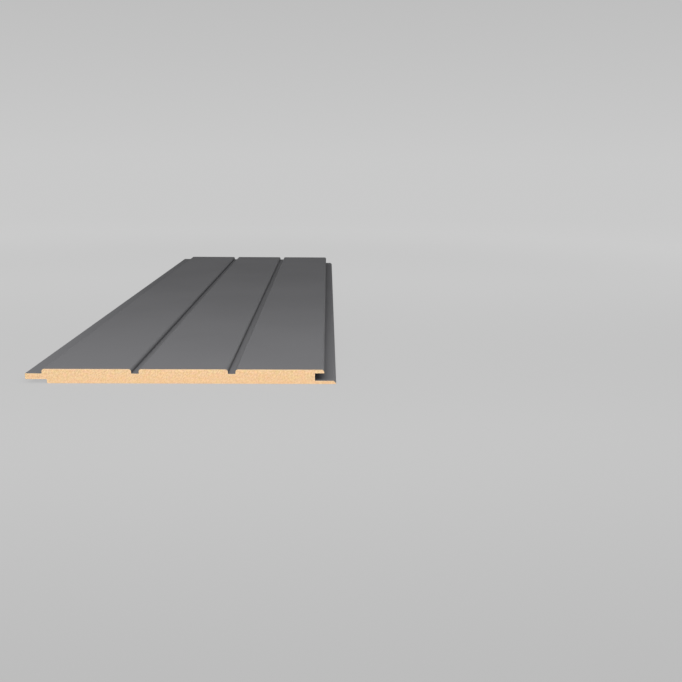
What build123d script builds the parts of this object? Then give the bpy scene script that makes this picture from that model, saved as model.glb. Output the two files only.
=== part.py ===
from build123d import *
import os

# Tongue-and-groove wall panel: one length of moulded fibreboard, lying face up.
# Millimetres. X runs from the tongue to the socket, Y along the boards, Z out of the face.
# The origin is on the level that the panel lies on, under the middle of its overall size.

# Board
panel_length = 762.0
panel_thickness = 12.0
board_pitch = 78.0
board_count = 3

# Flat-bottomed grooves that part the boards, as wide as the open joint between two panels
face_groove_width = 6.0
face_groove_depth = 3.8
board_edge_radius = 2.25

# Tongue, whose top is level with the groove floors
tongue_thickness = 4.8
tongue_engagement = 7.5
tongue_edge_radius = 0.3
back_shoulder_setback = 3.8

# Room that the joint leaves around the tongue of the next panel, whose back shoulder stops at the lip
clearance_above_tongue = 0.7
clearance_below_tongue = 0.7
clearance_at_tongue_tip = 0.05
clearance_at_back_shoulder = 0.1

# Lower lip of the socket, which is nailed through and then covered by the next panel
lip_chamfer = 1.95

# Levels of the section, up from the back
tongue_top = panel_thickness - face_groove_depth
tongue_bottom = tongue_top - tongue_thickness
socket_ceiling = tongue_top + clearance_above_tongue
socket_floor = tongue_bottom - clearance_below_tongue

# Widths of the section
tongue_length = face_groove_width + tongue_engagement
face_width = board_count * board_pitch - face_groove_width
socket_depth = tongue_engagement + clearance_at_tongue_tip
lip_length = face_groove_width + back_shoulder_setback - clearance_at_back_shoulder
overall_width = tongue_length + face_width + lip_length

# Places across the section, from the tip of the tongue to the end of the lower lip
tongue_tip = -overall_width / 2
face_shoulder = tongue_tip + tongue_length
back_shoulder = face_shoulder + back_shoulder_setback
face_end = face_shoulder + face_width
socket_wall = face_end - socket_depth
lip_end = face_end + lip_length

from_corner = (Align.MIN, Align.MIN)

with BuildPart() as wall_panel:
    with BuildSketch(Plane.XZ) as section:
        Rectangle(overall_width, panel_thickness, align=(Align.CENTER, Align.MIN))

        # The tongue is left between a cut from the face and a deeper one from the back
        with Locations((tongue_tip, tongue_top)):
            Rectangle(tongue_length, face_groove_depth, align=from_corner, mode=Mode.SUBTRACT)
        with Locations((tongue_tip, 0)):
            Rectangle(back_shoulder - tongue_tip, tongue_bottom, align=from_corner, mode=Mode.SUBTRACT)

        # The socket takes the tongue, and the face stops short above its lower lip
        with Locations((socket_wall, socket_floor)):
            Rectangle(
                lip_end - socket_wall,
                socket_ceiling - socket_floor,
                align=from_corner,
                mode=Mode.SUBTRACT,
            )
        with Locations((face_end, socket_ceiling)):
            Rectangle(
                lip_length,
                panel_thickness - socket_ceiling,
                align=from_corner,
                mode=Mode.SUBTRACT,
            )

        # One groove ends at each pitch, so the rhythm carries on over the joint
        for board in range(1, board_count):
            with Locations((face_shoulder + board * board_pitch, tongue_top)):
                Rectangle(
                    face_groove_width,
                    face_groove_depth,
                    align=(Align.MAX, Align.MIN),
                    mode=Mode.SUBTRACT,
                )

        # Every board is rounded over along both edges of its face
        face_corners = section.vertices().group_by(Axis.Y)[-1]
        fillet(face_corners, radius=board_edge_radius)

        # The tongue is eased at its tip, and the lip is bevelled to lead the next panel in
        tongue_corners = section.vertices().group_by(Axis.X)[0]
        fillet(tongue_corners, radius=tongue_edge_radius)
        lip_corner = section.vertices().group_by(Axis.X)[-1].sort_by(Axis.Y)[-1]
        chamfer(lip_corner, length=lip_chamfer)

    extrude(amount=panel_length / 2, both=True)

wall_panel.part.label = "wall_panel"
os.makedirs("parts", exist_ok=True)
export_step(wall_panel.part, "parts/wall_panel.step")
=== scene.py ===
# %% [markdown]
# # A painted fibreboard wall panel
#
# The real panel is a single length of medium-density fibreboard. A moulder ran it past a row of cutters,
# which left a tongue on one edge, a socket on the other and two flat-bottomed grooves in the face. It was
# then sprayed grey and sawn to length, so the two ends show bare, tan board.
#
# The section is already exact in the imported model. This lesson keeps that section and adds what a camera
# sees: the paint film, the sawn ends, the bare back, and a plain studio to look at them in.

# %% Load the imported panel
import math

import bmesh
import bpy
from mathutils import Matrix, Vector, noise
from mathutils.geometry import delaunay_2d_cdt


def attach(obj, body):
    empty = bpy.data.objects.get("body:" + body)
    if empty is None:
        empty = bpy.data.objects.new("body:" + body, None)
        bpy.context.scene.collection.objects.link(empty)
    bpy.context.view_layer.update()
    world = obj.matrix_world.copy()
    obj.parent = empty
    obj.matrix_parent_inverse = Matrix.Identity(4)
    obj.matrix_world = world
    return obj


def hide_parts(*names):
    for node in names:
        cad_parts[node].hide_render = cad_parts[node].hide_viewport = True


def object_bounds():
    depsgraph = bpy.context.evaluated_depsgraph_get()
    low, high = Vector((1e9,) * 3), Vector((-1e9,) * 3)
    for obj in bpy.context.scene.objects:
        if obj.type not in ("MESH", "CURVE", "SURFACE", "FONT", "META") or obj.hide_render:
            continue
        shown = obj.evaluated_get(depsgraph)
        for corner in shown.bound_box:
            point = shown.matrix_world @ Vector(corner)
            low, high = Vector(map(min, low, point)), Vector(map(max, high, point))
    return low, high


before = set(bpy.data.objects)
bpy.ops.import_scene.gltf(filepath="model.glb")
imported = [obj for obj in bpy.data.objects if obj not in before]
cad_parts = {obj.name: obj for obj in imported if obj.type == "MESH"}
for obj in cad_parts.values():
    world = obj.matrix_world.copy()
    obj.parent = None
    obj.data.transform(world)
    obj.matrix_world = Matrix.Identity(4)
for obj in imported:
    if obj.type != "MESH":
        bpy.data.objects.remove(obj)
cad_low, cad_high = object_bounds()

MM = 0.001
panel_size = cad_high - cad_low
print("panel, in mm:", [round(side / MM, 2) for side in panel_size])

# %% [markdown]
# ## The moulded section
#
# The outline could be drawn again here, but then two files would have to agree on every cut. It is safer to
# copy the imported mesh. That mesh is made of triangles with split corners, so it is welded first, and then
# flat neighbours are dissolved into one face each. What is left is easy to work on: one strip for each side
# of the section and one many-sided face at each end.

# %% Weld the copy into clean faces
WELD_DISTANCE = 0.002 * MM
FLAT_ANGLE = math.radians(0.5)

shell = bmesh.new()
shell.from_mesh(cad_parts["wall_panel"].data)
bmesh.ops.remove_doubles(shell, verts=shell.verts, dist=WELD_DISTANCE)
bmesh.ops.dissolve_limit(shell, angle_limit=FLAT_ANGLE, verts=shell.verts, edges=shell.edges)
bmesh.ops.recalc_face_normals(shell, faces=shell.faces)
print("section copied:", len(shell.faces), "faces")

# %% [markdown]
# ## Eased corners
#
# Sanding between coats takes the bite off every corner that the cutters left sharp, and a corner that is
# perfectly sharp never catches light. A Bevel shader node could fake the rounding, but an exported mesh would
# lose it. A real bevel a tenth of a millimetre wide is enough. It goes on the long outward corners only: the
# inside corners of the grooves stay as crisp as the cutter made them, and the corners of the ends stay sharp
# because the saw came after the paint.

# %% Bevel the long outward corners
EASED_WIDTH = 0.12 * MM
SHARP_ANGLE = math.radians(30)
LONG_SHARE = 0.9


def runs_along_boards(edge):
    first, last = (vert.co for vert in edge.verts)
    return abs(first.y - last.y) > LONG_SHARE * panel_size.y


sharp_corners = []
for edge in shell.edges:
    if runs_along_boards(edge) and edge.is_convex and edge.calc_face_angle() > SHARP_ANGLE:
        sharp_corners.append(edge)

bmesh.ops.bevel(
    shell, geom=sharp_corners, offset=EASED_WIDTH, segments=2, profile=0.5, affect="EDGES", clamp_overlap=True
)
# The bevel leaves gaps in the list of faces, in an order that changes from run to run. A copy has no gaps.
shell = shell.copy()
print("eased", len(sharp_corners), "long corners")

# %% [markdown]
# ## Which finish goes where
#
# There are three finishes on one piece of board. The spray reached the face, the tongue, the grooves and the
# lips. The back lay on the conveyor and stayed bare. The ends were sawn last. Faces could be picked by hand,
# but the picks would be wrong after any change of the section. Sorting them by the way they point holds for
# every section, so each face gets the number of its material like that, before more faces are added.

# %% Number the finishes
PAINTED, SAWN, BARE_BACK = range(3)
FACES_AN_END = 0.5
FACES_DOWN = -0.9


def finish_of(face):
    if abs(face.normal.y) > FACES_AN_END:
        return SAWN
    if face.normal.z < FACES_DOWN and face.calc_center_median().z < EASED_WIDTH:
        return BARE_BACK
    return PAINTED


for face in shell.faces:
    face.material_index = finish_of(face)
finishes = [face.material_index for face in shell.faces]
print("painted, sawn and bare faces:", [finishes.count(finish) for finish in (PAINTED, SAWN, BARE_BACK)])

# %% [markdown]
# ## The sawn ends
#
# Seen end on, the paint is a line as thin as a hair around the tan board, and the board itself is a little
# torn: the blade leaves shallow ripples, and fibres lift between them. A bump map could fake all of it, but
# the film's edge is a real step between two materials, so it is better as geometry.
#
# The outline of each end is stepped inwards by the film's thickness to make a thin ring. The ring's inner
# edge is divided, and the space inside is filled by a constrained Delaunay triangulation, which joins any
# scatter of points into even triangles without crossing the outline. The scattered points are then pushed a
# few hundredths of a millimetre into the board. The points next to paint carry a mark, so that a material can
# tell the rim of the board, which gets a painted highlight, from its middle.

# %% Step an outline inwards
FILM_THICKNESS = 0.06 * MM


def stepped_in(outline, step):
    """The outline moved to its own inside. The points run counter-clockwise."""
    moved = []
    for index, point in enumerate(outline):
        before = (point - outline[index - 1]).normalized()
        after = (outline[(index + 1) % len(outline)] - point).normalized()
        inward = Vector((-before.y - after.y, before.x + after.x)).normalized()
        lean = inward.dot(Vector((-before.y, before.x)))
        moved.append(point + inward * step / lean)
    return moved


print("paint film, in mm:", FILM_THICKNESS / MM)

# %% Divide an outline
SCATTER_PITCH = 0.9 * MM


def divided(outline):
    """The outline with more points on its long sides, and the number of the side that each point is on."""
    points = []
    sides = []
    for side, start in enumerate(outline):
        end = outline[(side + 1) % len(outline)]
        pieces = max(1, round((end - start).length / SCATTER_PITCH))
        points += [start.lerp(end, piece / pieces) for piece in range(pieces)]
        sides += [side] * pieces
    return points, sides


print("points on the ends stand", SCATTER_PITCH / MM, "mm apart")

# %% Scatter points inside an outline
SCATTER_GUARD = 0.4 * SCATTER_PITCH
SCATTER_SHAKE = 0.3
SCATTER_SEED = 12


def is_inside(point, outline):
    """True where a line from the point towards +X crosses the outline an odd number of times."""
    crossings = 0
    for index, end in enumerate(outline):
        start = outline[index - 1]
        if (start.y > point.y) != (end.y > point.y):
            reach = (point.y - start.y) / (end.y - start.y)
            crossings += point.x < start.x + reach * (end.x - start.x)
    return crossings % 2 == 1


def scattered(outline):
    """Points on a shaken grid, clear of the outline."""
    guard = stepped_in(outline, SCATTER_GUARD)
    low = Vector((min(point.x for point in outline), min(point.y for point in outline)))
    high = Vector((max(point.x for point in outline), max(point.y for point in outline)))
    across = int((high.x - low.x) / SCATTER_PITCH)
    upward = int((high.y - low.y) / SCATTER_PITCH)
    points = []
    for row in range(upward):
        for column in range(across):
            shake = noise.random_vector() * SCATTER_SHAKE
            spot = low + Vector((column + 0.5 + shake.x, row + 0.5 + shake.y)) * SCATTER_PITCH
            if is_inside(spot, guard):
                points.append(spot)
    return points


noise.seed_set(SCATTER_SEED)
print("grid points are shaken by up to", round(SCATTER_SHAKE * SCATTER_PITCH / MM, 2), "mm")

# %% How deep the saw and the torn fibres go
RIPPLE_PITCH = 5.0 * MM
RIPPLE_LEAN = 0.2
RIPPLE_DEPTH = 0.012 * MM
TEAR_SIZE = 2.2 * MM
TEAR_DEPTH = 0.05 * MM
TEAR_FALLOFF = 1.0
TEAR_FINENESS = 2.0
TEAR_LAYERS = 3


def sawn_depth(spot, end_seed):
    ripple = 0.5 + 0.5 * math.sin(math.tau * (spot.x + RIPPLE_LEAN * spot.y) / RIPPLE_PITCH)
    place = Vector((spot.x, end_seed, spot.y)) / TEAR_SIZE
    torn = 0.5 + 0.5 * noise.fractal(place, TEAR_FALLOFF, TEAR_FINENESS, TEAR_LAYERS)
    return RIPPLE_DEPTH * ripple + TEAR_DEPTH * min(1.0, max(0.0, torn))


print("deepest cut, in mm:", round((RIPPLE_DEPTH + TEAR_DEPTH) / MM, 3))

# %% Read the rim of an end
rim_mark = shell.verts.layers.float.new("rim")


def rim_of(end_face):
    """The corners of an end, counter-clockwise in X and Z, and the ring's finish along each side."""
    corners = []
    side_finishes = []
    for loop in end_face.loops:
        beside = next(face for face in loop.edge.link_faces if face is not end_face)
        corners.append(loop.vert)
        side_finishes.append(SAWN if beside.material_index == BARE_BACK else PAINTED)
    if end_face.normal.y > 0:
        corners = corners[::-1]
        side_finishes = side_finishes[-2::-1] + side_finishes[-1:]
    return corners, side_finishes


end_faces = [face for face in shell.faces if face.material_index == SAWN]
print("corners around each end:", [len(face.verts) for face in end_faces])

# %% Fill an end with sawn board
ONLY_INSIDE = 1
MERGE_DISTANCE = 0.01 * WELD_DISTANCE


def add_face(corners, finish, outward):
    face = shell.faces.new(corners if outward < 0 else corners[::-1])
    face.material_index = finish


def fill_board(inner, side_finishes, level, outward):
    """Sawn triangles inside the ring. Gives the points on the ring's inner edge and the side of each."""
    edge_spots, edge_sides = divided(inner)
    edge_count = len(edge_spots)
    spots, _, triangles, origins, _, _ = delaunay_2d_cdt(
        edge_spots + scattered(inner), [], [list(range(edge_count))], ONLY_INSIDE, MERGE_DISTANCE
    )
    board = []
    edge_verts = {}
    for spot, origin in zip(spots, origins):
        index = min(origin)
        on_edge = index < edge_count
        depth = 0.0 if on_edge else sawn_depth(spot, outward)
        vert = shell.verts.new((spot.x, level - outward * depth, spot.y))
        board.append(vert)
        if on_edge:
            edge_verts[index] = vert
            finishes_beside = side_finishes[edge_sides[index - 1]], side_finishes[edge_sides[index]]
            vert[rim_mark] = float(PAINTED in finishes_beside)
    for triangle in triangles:
        add_face([board[index] for index in triangle], SAWN, outward)
    print("end filled with", len(triangles), "triangles of sawn board")
    return edge_verts, edge_sides


print("points within", MERGE_DISTANCE / MM, "mm of each other become one")


# %% Rebuild both ends
def close_ring(rim, side_finishes, edge_verts, edge_sides, outward):
    """Joins each side of the rim to its run of points on the ring's inner edge."""
    for side, start in enumerate(rim):
        end = rim[(side + 1) % len(rim)]
        first = edge_sides.index(side)
        pieces = edge_sides.count(side)
        middle = pieces // 2
        run = [edge_verts[spot % len(edge_verts)] for spot in range(first, first + pieces + 1)]
        add_face([start, end, run[middle]], side_finishes[side], outward)
        for piece in range(pieces):
            corner = start if piece < middle else end
            add_face([corner, run[piece + 1], run[piece]], side_finishes[side], outward)


for end_face in end_faces:
    outward = 1 if end_face.normal.y > 0 else -1
    level = end_face.verts[0].co.y
    rim, side_finishes = rim_of(end_face)
    bmesh.ops.delete(shell, geom=[end_face], context="FACES_ONLY")
    section_outline = [Vector((vert.co.x, vert.co.z)) for vert in rim]
    inner = stepped_in(section_outline, FILM_THICKNESS)
    edge_verts, edge_sides = fill_board(inner, side_finishes, level, outward)
    close_ring(rim, side_finishes, edge_verts, edge_sides, outward)
shell.normal_update()
print("shell with both ends:", len(shell.faces), "faces")

# %% [markdown]
# ## A flat map of the panel
#
# The finishes below are worked out in space, so they need no map. One helps whoever bakes them into pictures
# for another program. Blender's automatic unwrap would draw every island at one scale, and the narrow ends
# would get few pixels. A length of moulding unrolls in a few lines instead: its sides lie next to
# each other in the order of the outline, and the two ends lie below them, drawn larger.

# %% Measure the map
MAP_MARGIN = 0.004
MAP_WIDTH = 1 - 2 * MAP_MARGIN
END_HEIGHT = MAP_WIDTH * panel_size.z / panel_size.x
END_STEP = END_HEIGHT + 2 * MAP_MARGIN
SIDES_FROM = 2 * END_STEP
SIDES_HEIGHT = 1 - MAP_MARGIN - SIDES_FROM
flat_map = shell.loops.layers.uv.new("OFBake")

walked = [0.0]
for index in range(1, len(section_outline) + 1):
    step = section_outline[index % len(section_outline)] - section_outline[index - 1]
    walked.append(walked[-1] + step.length)
print("unrolled: %.0f mm round the section" % (walked[-1] / MM))


# %% Unroll the sides and lay the ends below
def outline_index(vert):
    spot = Vector((vert.co.x, vert.co.z))
    return min(range(len(section_outline)), key=lambda index: (section_outline[index] - spot).length)


def lay_side(face):
    places = [outline_index(loop.vert) for loop in face.loops]
    closes_the_round = max(places) - min(places) > 1
    for loop, place in zip(face.loops, places):
        if closes_the_round and place == 0:
            place = len(section_outline)
        along = (loop.vert.co.y - cad_low.y) / panel_size.y
        around = walked[place] / walked[-1]
        loop[flat_map].uv = (MAP_MARGIN + MAP_WIDTH * along, SIDES_FROM + SIDES_HEIGHT * around)


def lay_end(face):
    is_far = face.normal.y > 0
    bottom = MAP_MARGIN + is_far * END_STEP
    for loop in face.loops:
        across = (loop.vert.co.x - cad_low.x) / panel_size.x
        upward = (loop.vert.co.z - cad_low.z) / panel_size.z
        across = 1 - across if is_far else across
        loop[flat_map].uv = (MAP_MARGIN + MAP_WIDTH * across, bottom + END_HEIGHT * upward)


side_count = 0
for face in shell.faces:
    if any(runs_along_boards(edge) for edge in face.edges):
        lay_side(face)
        side_count += 1
    else:
        lay_end(face)
print("sides on the map:", side_count)

# %% [markdown]
# ## Flat boards, round edges
#
# Flat shading would show every facet of the rounded edges. With every face smooth, the normals of a flat
# board would lean towards those edges instead, and the board would look like a pillow. Two things stop that.
# Corners over thirty degrees are marked sharp, and a Weighted Normal modifier lets large faces keep their own
# direction, so only the narrow strips of the rounded edges blend.

# %% Turn the mesh into the panel piece
for face in shell.faces:
    face.smooth = True
for edge in shell.edges:
    edge.smooth = edge.is_manifold and edge.calc_face_angle() < SHARP_ANGLE
open_edges = sum(not edge.is_manifold for edge in shell.edges)

panel_mesh = bpy.data.meshes.new("moulded_panel")
shell.to_mesh(panel_mesh)
shell.free()
panel = bpy.data.objects.new("moulded_panel", panel_mesh)
bpy.context.scene.collection.objects.link(panel)

weighting = panel.modifiers.new("Flat faces win", "WEIGHTED_NORMAL")
weighting.mode = "FACE_AREA"
weighting.weight = 100
weighting.keep_sharp = True
print("panel piece:", len(panel_mesh.polygons), "faces and", open_edges, "open edges")

# %% [markdown]
# ## A short way to write node trees
#
# A material in code is a list of nodes and links, and written out in full it hides the idea behind it. One
# helper adds a node, sets its options and fills its inputs: with a link where the value is another node's
# output, and as a plain number or colour otherwise. Shorter helpers build on it, so that each finish below
# reads like a recipe.


# %% Add a node
def add_node(tree, kind, title, inputs=None, **options):
    node = tree.nodes.new(kind)
    node.label = title
    for option, value in options.items():
        setattr(node, option, value)
    for name, value in (inputs or {}).items():
        if isinstance(value, bpy.types.NodeSocket):
            tree.links.new(value, node.inputs[name])
        else:
            node.inputs[name].default_value = value
    return node


def calculated(tree, title, operation, *values):
    return add_node(tree, "ShaderNodeMath", title, dict(enumerate(values)), operation=operation).outputs[0]


def remapped(tree, title, value, from_low, from_high, to_low, to_high):
    """The value moved from one range to another, with soft ends."""
    return add_node(
        tree,
        "ShaderNodeMapRange",
        title,
        {"Value": value, "From Min": from_low, "From Max": from_high, "To Min": to_low, "To Max": to_high},
        interpolation_type="SMOOTHSTEP",
    ).outputs["Result"]


print("nodes are made for Blender", bpy.app.version_string)

# %% [markdown]
# ## Fibres
#
# Fibreboard is wood boiled and ground to fluff, mixed with resin and pressed flat. Close up it is a fine
# mottle of lighter and darker tan, pinker where the wood was red and yellower where resin gathered, with
# short pale fibres that lie flat in the board and now and then a dark crumb of bark. A picture of real board
# could be wrapped on, but it would blur close up and repeat. Noise in space does neither.
#
# The sawn ends, the sanded back and even the paint in the milled grooves show fibres in different strengths,
# so they are a node group: one recipe with named inputs that several materials share.

# %% Noise at a chosen size
NOISE_LOW = 0.3
NOISE_HIGH = 0.7


def scaled_position(tree, title, position, size):
    per_size = calculated(tree, "one over the size", "DIVIDE", 1.0, size)
    inputs = {0: position, "Scale": per_size}
    return add_node(tree, "ShaderNodeVectorMath", title, inputs, operation="SCALE").outputs["Vector"]


def noise_pattern(tree, title, place, scale=1.0, detail=2.0, roughness=0.5):
    inputs = {"Vector": place, "Scale": scale, "Detail": detail, "Roughness": roughness}
    return add_node(tree, "ShaderNodeTexNoise", title, inputs).outputs["Fac"]


def evened(tree, title, pattern):
    """Noise stays near its middle, so the part of it that matters is spread over 0 to 1."""
    return remapped(tree, title, pattern, NOISE_LOW, NOISE_HIGH, 0.0, 1.0)


print("noise from", NOISE_LOW, "to", NOISE_HIGH, "is spread over 0 to 1")


# %% Start the group for the fibres
def start_group(name, **sizes):
    """An empty group that reads a position and some sizes, and the outputs of its input node."""
    group = bpy.data.node_groups.new(name, "ShaderNodeTree")
    group.interface.new_socket("Position", in_out="INPUT", socket_type="NodeSocketVector")
    for size_name, size in sizes.items():
        title = size_name.replace("_", " ")
        socket = group.interface.new_socket(title, in_out="INPUT", socket_type="NodeSocketFloat")
        socket.default_value = size
    return group, group.nodes.new("NodeGroupInput").outputs


def finish_group(group, masks):
    for title in masks:
        group.interface.new_socket(title, in_out="OUTPUT", socket_type="NodeSocketFloat")
    result = group.nodes.new("NodeGroupOutput")
    for title, mask in masks.items():
        group.links.new(mask, result.inputs[title])
    print("group", group.name, "gives", list(masks))


fibre_group, given = start_group("Fibres", Fibre_Length=2.5 * MM)
print("group", fibre_group.name, "takes", [socket.name for socket in fibre_group.interface.items_tree])

# %% Mix the fibres
PRESSED_SHAPE = (0.9, 0.9, 1.9)
STRAND_LOW = 0.5
STRAND_HIGH = 0.72
CRUMB_LOW = 0.68
CRUMB_HIGH = 0.76

tree = fibre_group
in_lengths = scaled_position(tree, "position in fibre lengths", given["Position"], given["Fibre Length"])
pressed_flat = add_node(
    tree, "ShaderNodeMapping", "fibres lie flat", {"Vector": in_lengths, "Scale": PRESSED_SHAPE}
).outputs["Vector"]
mottle = noise_pattern(tree, "mottle", in_lengths, scale=1.0, detail=2.0)
red_wood = noise_pattern(tree, "red wood", in_lengths, scale=0.2, detail=4.0, roughness=0.75)
resin = noise_pattern(tree, "resin", pressed_flat, scale=0.4, detail=1.0)
strands = noise_pattern(tree, "strands", pressed_flat, scale=1.6, detail=3.0)
crumbs = noise_pattern(tree, "crumbs", pressed_flat, scale=2.7, detail=1.0)
finish_group(
    fibre_group,
    {
        "Mottle": evened(tree, "mottle, evened", mottle),
        "Red Wood": evened(tree, "red wood, evened", red_wood),
        "Resin": evened(tree, "resin, evened", resin),
        "Pale Fibres": remapped(tree, "strongest strands", strands, STRAND_LOW, STRAND_HIGH, 0.0, 1.0),
        "Dark Crumbs": remapped(tree, "only a few crumbs", crumbs, CRUMB_LOW, CRUMB_HIGH, 0.0, 1.0),
        "Relief": calculated(tree, "relief", "ADD", mottle, strands),
    },
)

# %% [markdown]
# ## Traces of handling
#
# A new panel is clean, but no surface is perfectly even. A few nibs of dust dry into the paint, the sheen
# differs from place to place, and a bare back picks up faint smudges. Marks painted by hand would have to be
# placed one by one. A group makes two masks instead: scattered specks, each in its own cell of a Voronoi
# pattern, and broad, soft patches of noise. Every finish takes the patches, and the paint takes the specks
# too.

# %% Node group for handling
SPECK_CORE = 0.012
SPECK_EDGE = 0.022

handling_group, given = start_group("Handling", Speck_Spacing=12 * MM, Patch_Size=120 * MM)
tree = handling_group
in_cells = scaled_position(tree, "position in cells", given["Position"], given["Speck Spacing"])
cells = add_node(tree, "ShaderNodeTexVoronoi", "one speck a cell", {"Vector": in_cells, "Scale": 1.0})
in_patches = scaled_position(tree, "position in patches", given["Position"], given["Patch Size"])
patches = noise_pattern(tree, "soft patches", in_patches, detail=3.0)
finish_group(
    handling_group,
    {
        "Specks": remapped(tree, "small specks", cells.outputs["Distance"], SPECK_CORE, SPECK_EDGE, 1.0, 0.0),
        "Patches": evened(tree, "patches, evened", patches),
    },
)

# %% [markdown]
# ## Grey paint
#
# The factory finish is a sprayed, almost matt grey with a breath of blue. Spray dries to a fine orange peel
# on the boards. Where the cutters opened the board, in the grooves and on the tongue and lips, the fibres
# drink more paint, so the film there is duller and shows them. Sanding thinned it on the rounded edges, which
# are a touch lighter in patches; that lighter grey is partly thin paint and partly a painted highlight.
# Upright walls and undersides get a deeper grey, which is painted shade.
#
# Each of these places could be a material of its own, but then every blend between them would be a hard line.
# Two measures find them inside one material instead. Height on the panel tells milled from unmilled, because
# only the face lies at the full thickness, and the slope finds the rounded edges and the walls.


# %% Start the paint
def new_material(name):
    material = bpy.data.materials.new(name)
    material.use_nodes = True
    material.node_tree.nodes.clear()
    return material, material.node_tree


def object_position(tree):
    return add_node(tree, "ShaderNodeTexCoord", "where on the object").outputs["Object"]


def place_group(tree, group, position, **sizes):
    node = tree.nodes.new("ShaderNodeGroup")
    node.node_tree = group
    node.label = group.name
    tree.links.new(position, node.inputs["Position"])
    for size_name, size in sizes.items():
        node.inputs[size_name.replace("_", " ")].default_value = size
    return node.outputs


paint, tree = new_material("grey_paint")
position = object_position(tree)
fibres = place_group(tree, fibre_group, position, Fibre_Length=1.8 * MM)
handling = place_group(tree, handling_group, position, Speck_Spacing=26 * MM, Patch_Size=150 * MM)
print("paint has", len(fibres) + len(handling), "masks to choose from")

# %% Paint: find the milled, rounded and upright places
MILLED_DEPTH = 2.0 * MM
ROUNDED_UPWARD = 0.63
ROUNDED_SPREAD = 0.33
WALL_UPWARD = 0.05
SLOPE_UPWARD = 0.35


def part_of(tree, title, vector, axis):
    return add_node(tree, "ShaderNodeSeparateXYZ", title, {"Vector": vector}).outputs[axis]


milled_to = cad_high.z - MILLED_DEPTH
height = part_of(tree, "height", position, "Z")
milled = remapped(tree, "milled below the face", height, milled_to, cad_high.z, 1.0, 0.0)
facing = add_node(tree, "ShaderNodeNewGeometry", "which way it faces").outputs["Normal"]
upward = part_of(tree, "how far it faces up", facing, "Z")
rounded = calculated(tree, "between flat and upright", "COMPARE", upward, ROUNDED_UPWARD, ROUNDED_SPREAD)
# This mask places painted shade on surfaces that face sideways or down
wall = remapped(tree, "upright walls", upward, WALL_UPWARD, SLOPE_UPWARD, 1.0, 0.0)
print("fully milled up to", round(milled_to / MM, 2), "mm above the back")


# %% Colours as a screen shows them
def screen_colour(red, green, blue):
    """A screen's colour, 0 to 255, taken through the sRGB curve to the linear values that nodes expect."""
    linear = []
    for channel in (red, green, blue):
        share = channel / 255
        linear.append(share / 12.92 if share <= 0.04045 else ((share + 0.055) / 1.055) ** 2.4)
    return (*linear, 1.0)


# A Mix node has sockets for every kind of data. These are the ones for colours.
MIX_AMOUNT = 0
MIX_FIRST = 6
MIX_SECOND = 7
MIX_RESULT = 2


def blend_colours(tree, title, amount, first, second, how="MIX"):
    inputs = {MIX_AMOUNT: amount, MIX_FIRST: first, MIX_SECOND: second}
    node = add_node(tree, "ShaderNodeMix", title, inputs, data_type="RGBA", blend_type=how)
    return node.outputs[MIX_RESULT]


print("grey on screen 110 is linear", round(screen_colour(110, 110, 110)[0], 4))

# %% Paint: colour
PAINT_GREY = screen_colour(104, 104, 106)
PAINT_GREY_DEEP = screen_colour(102.5, 102.5, 104.5)
# PAINT_GREY_THIN_HIGHLIT is partly thin paint and partly a painted highlight on the rounded edges
PAINT_GREY_THIN_HIGHLIT = screen_colour(110, 110, 112)
# PAINT_GREY_WALL_SHADE is painted shade: a deeper grey for upright walls and undersides
PAINT_GREY_WALL_SHADE = screen_colour(96, 96, 98)
PAINT_NIB = screen_colour(116, 116, 118)

patchy_grey = blend_colours(tree, "uneven coat", handling["Patches"], PAINT_GREY, PAINT_GREY_DEEP)
# Thin paint and a painted highlight, on the rounded edges in patches
thin_and_highlit_edges = calculated(tree, "thin paint and painted highlight on some edges", "MULTIPLY", rounded, handling["Patches"])
thinned_and_highlit_grey = blend_colours(tree, "thin paint and painted highlight on the edges", thin_and_highlit_edges, patchy_grey, PAINT_GREY_THIN_HIGHLIT)
# Painted shade: upright walls and undersides take the deeper grey
wall_shaded_grey = blend_colours(tree, "painted shade on the walls", wall, thinned_and_highlit_grey, PAINT_GREY_WALL_SHADE)
paint_colour = blend_colours(tree, "dust nibs", handling["Specks"], wall_shaded_grey, PAINT_NIB)
print("paint, linear:", [round(channel, 3) for channel in PAINT_GREY[:3]])

# %% Paint: sheen
SHEEN_LOW = 0.66
SHEEN_HIGH = 0.72
MILLED_DULLER = 0.08

sheen = remapped(tree, "uneven sheen", handling["Patches"], 0.0, 1.0, SHEEN_LOW, SHEEN_HIGH)
paint_roughness = calculated(tree, "duller where milled", "MULTIPLY_ADD", milled, MILLED_DULLER, sheen)
print("roughness of the paint:", SHEEN_LOW, "to", round(SHEEN_HIGH + MILLED_DULLER, 2))

# %% Paint: relief
PEEL_SIZE = 1.3 * MM
PEEL_DEPTH = 0.03 * MM


def finish_material(tree, title, shader):
    output = tree.nodes.new("ShaderNodeOutputMaterial")
    tree.links.new(shader.outputs[0], output.inputs["Surface"])
    print(title + ":", len(tree.nodes), "nodes")


def finish_surface(tree, title, colour, roughness, height, strength, depth, gloss):
    """Bump and shader of a finish. Its strength, depth and gloss are the same all over."""
    relief = {"Height": height, "Strength": strength, "Distance": depth}
    bump = add_node(tree, "ShaderNodeBump", title + " relief", relief)
    looks = {
        "Base Color": colour,
        "Roughness": roughness,
        "Normal": bump.outputs["Normal"],
        "Specular IOR Level": gloss,
    }
    finish_material(tree, title, add_node(tree, "ShaderNodeBsdfPrincipled", title, looks))


in_peel = scaled_position(tree, "position in peel", position, PEEL_SIZE)
peel = noise_pattern(tree, "orange peel", in_peel, detail=1.0)
raised = calculated(tree, "raised fibres", "MULTIPLY", fibres["Relief"], milled)
paint_height = calculated(tree, "film height", "ADD", peel, raised)
finish_surface(
    tree, "paint", paint_colour, paint_roughness, paint_height, strength=0.25, depth=PEEL_DEPTH, gloss=0.1
)
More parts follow.
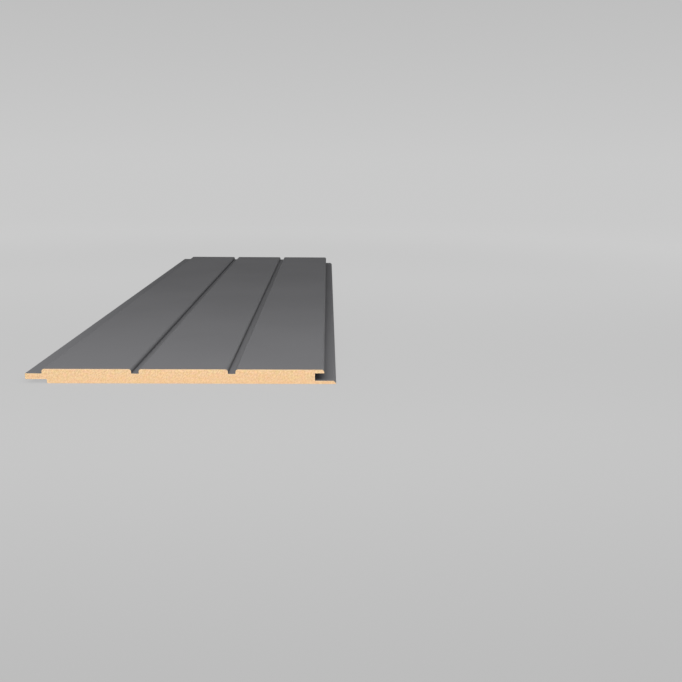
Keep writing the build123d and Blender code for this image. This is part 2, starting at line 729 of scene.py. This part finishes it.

# %% [markdown]
# ## Sawn board
#
# The saw opened fresh board, so the ends are the brightest thing on the panel: a warm tan, mottled light and
# dark and a shade deeper towards the back. One noise could colour it all, but the saw and the board each left
# a pattern of their own. The blade dragged the torn fibres over, so theirs leans: the position is turned and
# drawn out before the fibres read it. Red wood and resin were in the board before the saw came, so their
# tints are read from the plain position.
#
# A light and a dark tan are mixed by the mottle and then multiplied by the two faint tints, which keeps the
# mottle under them. The rim is a little paler, a painted highlight along the painted edges. Pale fibres and
# dark crumbs go on top, and the blade's fine lines run across as bump only.

# %% Sawn board: read the fibres
DRAG_LEAN = math.radians(35)
DRAG_SHAPE = (1.0, 1.0, 2.0)

sawn, tree = new_material("sawn_board")
position = object_position(tree)
dragged = add_node(
    tree,
    "ShaderNodeMapping",
    "dragged by the blade",
    {"Vector": position, "Rotation": (0.0, DRAG_LEAN, 0.0), "Scale": DRAG_SHAPE},
    vector_type="TEXTURE",
).outputs["Vector"]
fibres = place_group(tree, fibre_group, dragged, Fibre_Length=0.95 * MM)
tints = place_group(tree, fibre_group, position, Fibre_Length=1.05 * MM)
handling = place_group(tree, handling_group, position, Patch_Size=40 * MM)
height = part_of(tree, "height", position, "Z")
rim = add_node(tree, "ShaderNodeAttribute", "rim of the board", attribute_name="rim").outputs["Fac"]
print("fibres lean by", round(math.degrees(DRAG_LEAN)), "degrees")

# %% Sawn board: tan and its tints
TAN_LIGHT = screen_colour(244, 211.5, 166.5)
TAN_DARK = screen_colour(219, 178.5, 135.5)
TAN_DEEP = screen_colour(230, 189, 146)
RED_TINT = (1.035, 0.965, 1.0, 1.0)
GREEN_TINT = (0.965, 1.035, 1.0, 1.0)
RESIN_TINT = (1.0, 1.0, 0.92, 1.0)
DRY_TINT = (1.0, 1.0, 1.08, 1.0)
DEEP_SHARE = 0.45

mottled = blend_colours(tree, "light and dark tan", fibres["Mottle"], TAN_DARK, TAN_LIGHT)
wood_tint = blend_colours(tree, "green to red", tints["Red Wood"], GREEN_TINT, RED_TINT)
resin_tint = blend_colours(tree, "dry to resinous", tints["Resin"], DRY_TINT, RESIN_TINT)
wooden = blend_colours(tree, "tint of the wood", 1.0, mottled, wood_tint, how="MULTIPLY")
warmed = blend_colours(tree, "tint of the resin", 1.0, wooden, resin_tint, how="MULTIPLY")
# The tan turns deeper towards the back
deepened = remapped(tree, "deeper near the back", height, cad_low.z, cad_high.z, DEEP_SHARE, 0.0)
darker_low_tan = blend_colours(tree, "darker towards the back", deepened, warmed, TAN_DEEP)
print("light tan, linear:", [round(channel, 3) for channel in TAN_LIGHT[:3]])

# %% Sawn board: rim, fibres and crumbs
# RIM_HIGHLIGHT is a painted highlight along the edges of the sawn board next to the paint
RIM_HIGHLIGHT = screen_colour(247, 213, 167)
RIM_SHARE = 0.8
FIBRE_PALE = screen_colour(247, 216, 174)
FIBRE_SHARE = 0.5
CRUMB_DARK = screen_colour(172, 131, 91)
CRUMB_SHARE = 0.6


def share_of(tree, title, mask, share):
    return calculated(tree, title, "MULTIPLY", mask, share)


# Painted highlight on the rim next to the paint
soft_rim = share_of(tree, "soft rim", rim, RIM_SHARE)
rim_highlighted = blend_colours(tree, "painted highlight on the rim", soft_rim, darker_low_tan, RIM_HIGHLIGHT)
soft_fibres = share_of(tree, "soft pale fibres", fibres["Pale Fibres"], FIBRE_SHARE)
with_fibres = blend_colours(tree, "pale fibres", soft_fibres, rim_highlighted, FIBRE_PALE)
soft_crumbs = share_of(tree, "soft dark crumbs", fibres["Dark Crumbs"], CRUMB_SHARE)
sawn_colour = blend_colours(tree, "dark crumbs", soft_crumbs, with_fibres, CRUMB_DARK)
print("rim, linear:", [round(channel, 3) for channel in RIM_HIGHLIGHT[:3]])

# %% Sawn board: roughness and relief
CUT_LOW = 0.82
CUT_HIGH = 0.93
BLADE_LINE_PITCH = 0.55 * MM
BLADE_SHARE = 0.3
CUT_DEPTH = 0.08 * MM

sawn_roughness = remapped(tree, "uneven cut", handling["Patches"], 0.0, 1.0, CUT_LOW, CUT_HIGH)
in_blade_lines = scaled_position(tree, "position in blade lines", position, BLADE_LINE_PITCH)
blade = add_node(
    tree,
    "ShaderNodeTexWave",
    "blade lines",
    {"Vector": in_blade_lines, "Scale": 0.3, "Distortion": 2.0, "Detail": 1.0},
    bands_direction="X",
).outputs["Fac"]
sawn_height = calculated(tree, "lines and fibres", "MULTIPLY_ADD", blade, BLADE_SHARE, fibres["Relief"])
finish_surface(
    tree, "sawn board", sawn_colour, sawn_roughness, sawn_height, strength=0.35, depth=CUT_DEPTH, gloss=0.2
)

# %% [markdown]
# ## Bare back
#
# The back is the pressed skin of the board, sanded to thickness: darker and smoother than the sawn ends, with
# fine straight scratches along the length. Spray drifts round the long edges and fades out within a few
# millimetres. Faces cut along the drift would end in a straight line, so it is mixed in by the distance from
# each edge and broken up by the handling patches.

# %% Back: spray drift along both edges
SPRAY_DRIFT = 7.0 * MM

back, tree = new_material("sanded_back")
position = object_position(tree)
fibres = place_group(tree, fibre_group, position, Fibre_Length=2.2 * MM)
handling = place_group(tree, handling_group, position, Patch_Size=90 * MM)

back_faces = [face for face in panel_mesh.polygons if face.material_index == BARE_BACK]
flat_back = max(back_faces, key=lambda face: face.area)
back_places = [panel_mesh.vertices[index].co.x for index in flat_back.vertices]
tongue_side = min(back_places)
lip_side = max(back_places)

across = part_of(tree, "place across", position, "X")
near_tongue = remapped(tree, "drift at the tongue", across, tongue_side, tongue_side + SPRAY_DRIFT, 1.0, 0.0)
near_lip = remapped(tree, "drift at the lip", across, lip_side - SPRAY_DRIFT, lip_side, 0.0, 1.0)
drift = calculated(tree, "either edge", "MAXIMUM", near_tongue, near_lip)
patchy_drift = calculated(tree, "drift in patches", "MULTIPLY", drift, handling["Patches"])
print("back, in mm wide:", round((lip_side - tongue_side) / MM, 2))

# %% Back: colour
BACK_TAN = screen_colour(196, 160, 118)
BACK_TAN_PALE = screen_colour(208, 173, 131)
BACK_SMUDGE = screen_colour(182, 147, 109)
SMUDGE_SHARE = 0.35

back_tan = blend_colours(tree, "sanded tan", fibres["Mottle"], BACK_TAN, BACK_TAN_PALE)
faint_smudges = share_of(tree, "faint smudges", handling["Patches"], SMUDGE_SHARE)
smudged = blend_colours(tree, "smudges", faint_smudges, back_tan, BACK_SMUDGE)
with_crumbs = blend_colours(tree, "dark crumbs", fibres["Dark Crumbs"], smudged, BACK_SMUDGE)
back_colour = blend_colours(tree, "spray drift", patchy_drift, with_crumbs, PAINT_GREY)
print("back, linear:", [round(channel, 3) for channel in BACK_TAN[:3]])

# %% Back: roughness and scratches
SANDED_LOW = 0.66
SANDED_HIGH = 0.76
SCRATCH_PITCH = 0.8 * MM
SCRATCH_SHAPE = (1.0, 0.01, 1.0)
SCRATCH_DEPTH = 0.03 * MM

back_roughness = remapped(tree, "uneven sanding", handling["Patches"], 0.0, 1.0, SANDED_LOW, SANDED_HIGH)
in_scratches = scaled_position(tree, "position in scratches", position, SCRATCH_PITCH)
drawn_out = add_node(
    tree, "ShaderNodeMapping", "drawn out along the boards", {"Vector": in_scratches, "Scale": SCRATCH_SHAPE}
).outputs["Vector"]
scratches = noise_pattern(tree, "scratches", drawn_out, detail=2.0)
finish_surface(
    tree, "sanded back", back_colour, back_roughness, scratches, strength=0.2, depth=SCRATCH_DEPTH, gloss=0.3
)

# %% [markdown]
# ## Dress the panel
#
# Three objects could carry one finish each, but the real panel is one piece, so one mesh carries all three.
# The order of its material slots is the order of the finish numbers given to the faces. The piece then takes
# the place of the imported solid, which stays behind, hidden.

# %% Assign the materials and join the frame
for material in (paint, sawn, back):
    panel_mesh.materials.append(material)
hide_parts("wall_panel")
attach(panel, "root")
print("slots:", [material.name for material in panel_mesh.materials])

# %% [markdown]
# ## A pale floor
#
# The floor has two jobs that pull apart. It should be a soft, pale grey however the lamps fall off, and it
# should hold the panel's shadow. A plain diffuse floor would do only the second. So its shader is mixed: a
# diffuse part that the lamps light and the panel shades, and a self-lit part, shown to the camera and to
# reflections only. Close to the panel both show. Further off the self-lit part takes over and meets the
# backdrop with no seam. Its tone dips in a broad oval in front of the panel, a painted shade on the floor,
# so that the picture darkens softly towards its lower edge. The floor lies a hair under the panel, so that
# the two never share a plane.

# %% Floor: mesh
FLOOR_SIZE = 30.0
FLOOR_DROP = 0.1 * MM

floor_mesh = bpy.data.meshes.new("studio_floor")
half = FLOOR_SIZE / 2
floor_corners = [(-half, -half, 0), (half, -half, 0), (half, half, 0), (-half, half, 0)]
floor_mesh.from_pydata(floor_corners, [], [(0, 1, 2, 3)])
floor = bpy.data.objects.new("studio_floor", floor_mesh)
floor.location.z = cad_low.z - FLOOR_DROP
bpy.context.scene.collection.objects.link(floor)
print("floor", FLOOR_SIZE, "m wide")

# %% Floor: distance from the centre of the painted shade
SHADE_POOL_CENTRE = (0.12, -0.95, 0.0)
SHADE_POOL_SHAPE = (2.0, 1.0, 1.0)


def length_of(tree, title, vector):
    return add_node(tree, "ShaderNodeVectorMath", title, {0: vector}, operation="LENGTH").outputs["Value"]


floor_paint, tree = new_material("studio_floor")
position = object_position(tree)
from_shade_pool = add_node(
    tree,
    "ShaderNodeMapping",
    "seen from the painted shade pool",
    {"Vector": position, "Location": SHADE_POOL_CENTRE, "Scale": SHADE_POOL_SHAPE},
    vector_type="TEXTURE",
).outputs["Vector"]
shade_pool_distance = length_of(tree, "distance from the painted shade pool", from_shade_pool)
print("painted shade centre", round(cad_low.y - SHADE_POOL_CENTRE[1], 2), "m in front of the panel")

# %% Floor: tone
# Distance from the centre of the painted shade, in metres along the boards, and the tone that a screen shows
# there
FLOOR_TONES = ((0.0, 183), (0.5, 193), (1.2, 204.5), (2.55, 201.5))

tone_reach = FLOOR_TONES[-1][0]
share_out = add_node(
    tree, "ShaderNodeMapRange", "share of the way out", {"Value": shade_pool_distance, "From Max": tone_reach}
).outputs["Result"]
ramp = add_node(tree, "ShaderNodeValToRGB", "tone of the floor", {"Fac": share_out})
ramp.color_ramp.interpolation = "EASE"
while len(ramp.color_ramp.elements) < len(FLOOR_TONES):
    ramp.color_ramp.elements.new(0.5)
for element, (reach, tone) in zip(ramp.color_ramp.elements, FLOOR_TONES):
    element.position = reach / tone_reach
    element.color = screen_colour(tone, tone, tone)
print("floor tones:", [tone for reach, tone in FLOOR_TONES])

# %% Floor: matt near the panel, self-lit further off
FLOOR_DIFFUSE = screen_colour(205, 205, 205)
SELF_LIT_NEAR = 0.88
MATT_REACH = 0.5
SELF_LIT_FROM = 1.15


def seen_rays(tree):
    """1 for rays that show the backdrop: straight from the camera, mirrored, or through glass."""
    path = add_node(tree, "ShaderNodeLightPath", "kind of ray").outputs
    mirrored = calculated(tree, "camera or mirrored", "MAXIMUM", path["Is Camera Ray"], path["Is Glossy Ray"])
    return calculated(tree, "or through glass", "MAXIMUM", mirrored, path["Is Transmission Ray"])


def mixed_shaders(tree, title, share, first, second):
    inputs = {0: share, 1: first.outputs[0], 2: second.outputs[0]}
    return add_node(tree, "ShaderNodeMixShader", title, inputs)


distance = length_of(tree, "distance from the panel", position)
self_lit = remapped(tree, "self-lit further off", distance, MATT_REACH, SELF_LIT_FROM, SELF_LIT_NEAR, 1.0)
shown = calculated(tree, "only where it shows", "MULTIPLY", self_lit, seen_rays(tree))
floor_matt = add_node(tree, "ShaderNodeBsdfDiffuse", "matt floor", {"Color": FLOOR_DIFFUSE})
floor_tone = {"Color": ramp.outputs["Color"], "Strength": 1.0}
floor_glow = add_node(tree, "ShaderNodeEmission", "even tone", floor_tone)
finish_material(tree, "floor", mixed_shaders(tree, "floor", shown, floor_matt, floor_glow))
floor_mesh.materials.append(floor_paint)

# %% [markdown]
# ## The room's light
#
# A plain grey world would light the panel and show as the same grey behind it, and here the two have to
# differ. So the world is split like the floor. Rays that show it see a pale backdrop that darkens gently
# upwards. The light it sheds on the panel is even and low, so that the lamps shape the panel.

# %% World
BACKDROP_LOW = screen_colour(201.5, 201.5, 201.5)
BACKDROP_HIGH = screen_colour(186, 186, 186)
BACKDROP_RISE = 0.25
WHITE = (1.0, 1.0, 1.0, 1.0)
ROOM_LIGHT = 0.40

world = bpy.data.worlds.new("studio_room")
world.use_nodes = True
tree = world.node_tree
tree.nodes.clear()
direction = add_node(tree, "ShaderNodeTexCoord", "direction").outputs["Generated"]
skyward = part_of(tree, "height of the direction", direction, "Z")
rise = {"Value": skyward, "From Min": 0.0, "From Max": BACKDROP_RISE}
up_share = add_node(tree, "ShaderNodeMapRange", "towards the top", rise).outputs["Result"]
backdrop_tone = blend_colours(tree, "backdrop tone", up_share, BACKDROP_LOW, BACKDROP_HIGH)
backdrop = add_node(tree, "ShaderNodeBackground", "backdrop", {"Color": backdrop_tone, "Strength": 1.0})
room = add_node(tree, "ShaderNodeBackground", "room light", {"Color": WHITE, "Strength": ROOM_LIGHT})
room_mix = mixed_shaders(tree, "room", seen_rays(tree), room, backdrop)
world_output = tree.nodes.new("ShaderNodeOutputWorld")
tree.links.new(room_mix.outputs[0], world_output.inputs["Surface"])
bpy.context.scene.world = world
print("room light", ROOM_LIGHT)

# %% [markdown]
# ## Lamps
#
# Small lamps would draw hard shadows in the grooves, so both lamps are softboxes. A wide one hangs in front
# of the near end, just under half a metre up, and tilts down towards it: the sawn end is lit well, and the
# light fades along the boards. A smaller one stands low behind the far end, so that the other sawn end isn't
# dark. From the front it would streak the paint, so it is kept out of reflections. No lamp stands at the
# sides, which leaves the groove walls dark.


# %% Softboxes
def add_softbox(name, place, aim, size, power, mirrored):
    lamp = bpy.data.lights.new(name, "AREA")
    lamp.shape = "RECTANGLE"
    lamp.size, lamp.size_y = size
    lamp.energy = power
    softbox = bpy.data.objects.new(name, lamp)
    softbox.location = place
    softbox.rotation_euler = (Vector(aim) - Vector(place)).to_track_quat("-Z", "Y").to_euler()
    softbox.visible_camera = False
    softbox.visible_glossy = mirrored
    bpy.context.scene.collection.objects.link(softbox)
    print(name, "at", [round(value, 2) for value in place], "with", power, "W")


front_end = cad_low.y
far_end = cad_high.y
add_softbox(
    "front_softbox",
    place=(0.0, front_end - 0.25, 0.45),
    aim=(0.0, front_end + 0.1, 0.0),
    size=(1.3, 0.45),
    power=5.0,
    mirrored=True,
)
add_softbox(
    "back_softbox",
    place=(0.0, far_end + 1.2, 0.15),
    aim=(0.0, far_end, 0.0),
    size=(0.8, 0.2),
    power=5.9,
    mirrored=False,
)

# %% [markdown]
# ## Camera
#
# A camera turned by eye could look close and still draw the boards too steep or too short. The two sets of
# parallel edges in the photo give it instead: their vanishing points fit a lens of 45 degrees, held low in
# front of the sawn end and nearly in line with its right edge, looking down by less than thirteen degrees.

# %% Camera
LENS_ANGLE = math.radians(45)
SENSOR_WIDTH = 36.0
CAMERA_TURN = math.radians(1.0)
CAMERA_DIP = math.radians(12.607)
CAMERA_LEAN = math.radians(0.435)
CAMERA_RIGHT = 0.118
CAMERA_BACK = 0.6461
CAMERA_HEIGHT = 0.1804

camera_data = bpy.data.cameras.new("photo_camera")
camera_data.sensor_width = SENSOR_WIDTH
camera_data.lens = SENSOR_WIDTH / 2 / math.tan(LENS_ANGLE / 2)
camera = bpy.data.objects.new("photo_camera", camera_data)
camera.matrix_world = (
    Matrix.Translation((CAMERA_RIGHT, front_end - CAMERA_BACK, CAMERA_HEIGHT))
    @ Matrix.Rotation(-CAMERA_TURN, 4, "Z")
    @ Matrix.Rotation(math.pi / 2 - CAMERA_DIP, 4, "X")
    @ Matrix.Rotation(CAMERA_LEAN, 4, "Z")
)
bpy.context.scene.collection.objects.link(camera)
bpy.context.scene.camera = camera
bpy.context.scene.view_settings.view_transform = "Standard"
print("lens", round(camera_data.lens, 2), "mm")
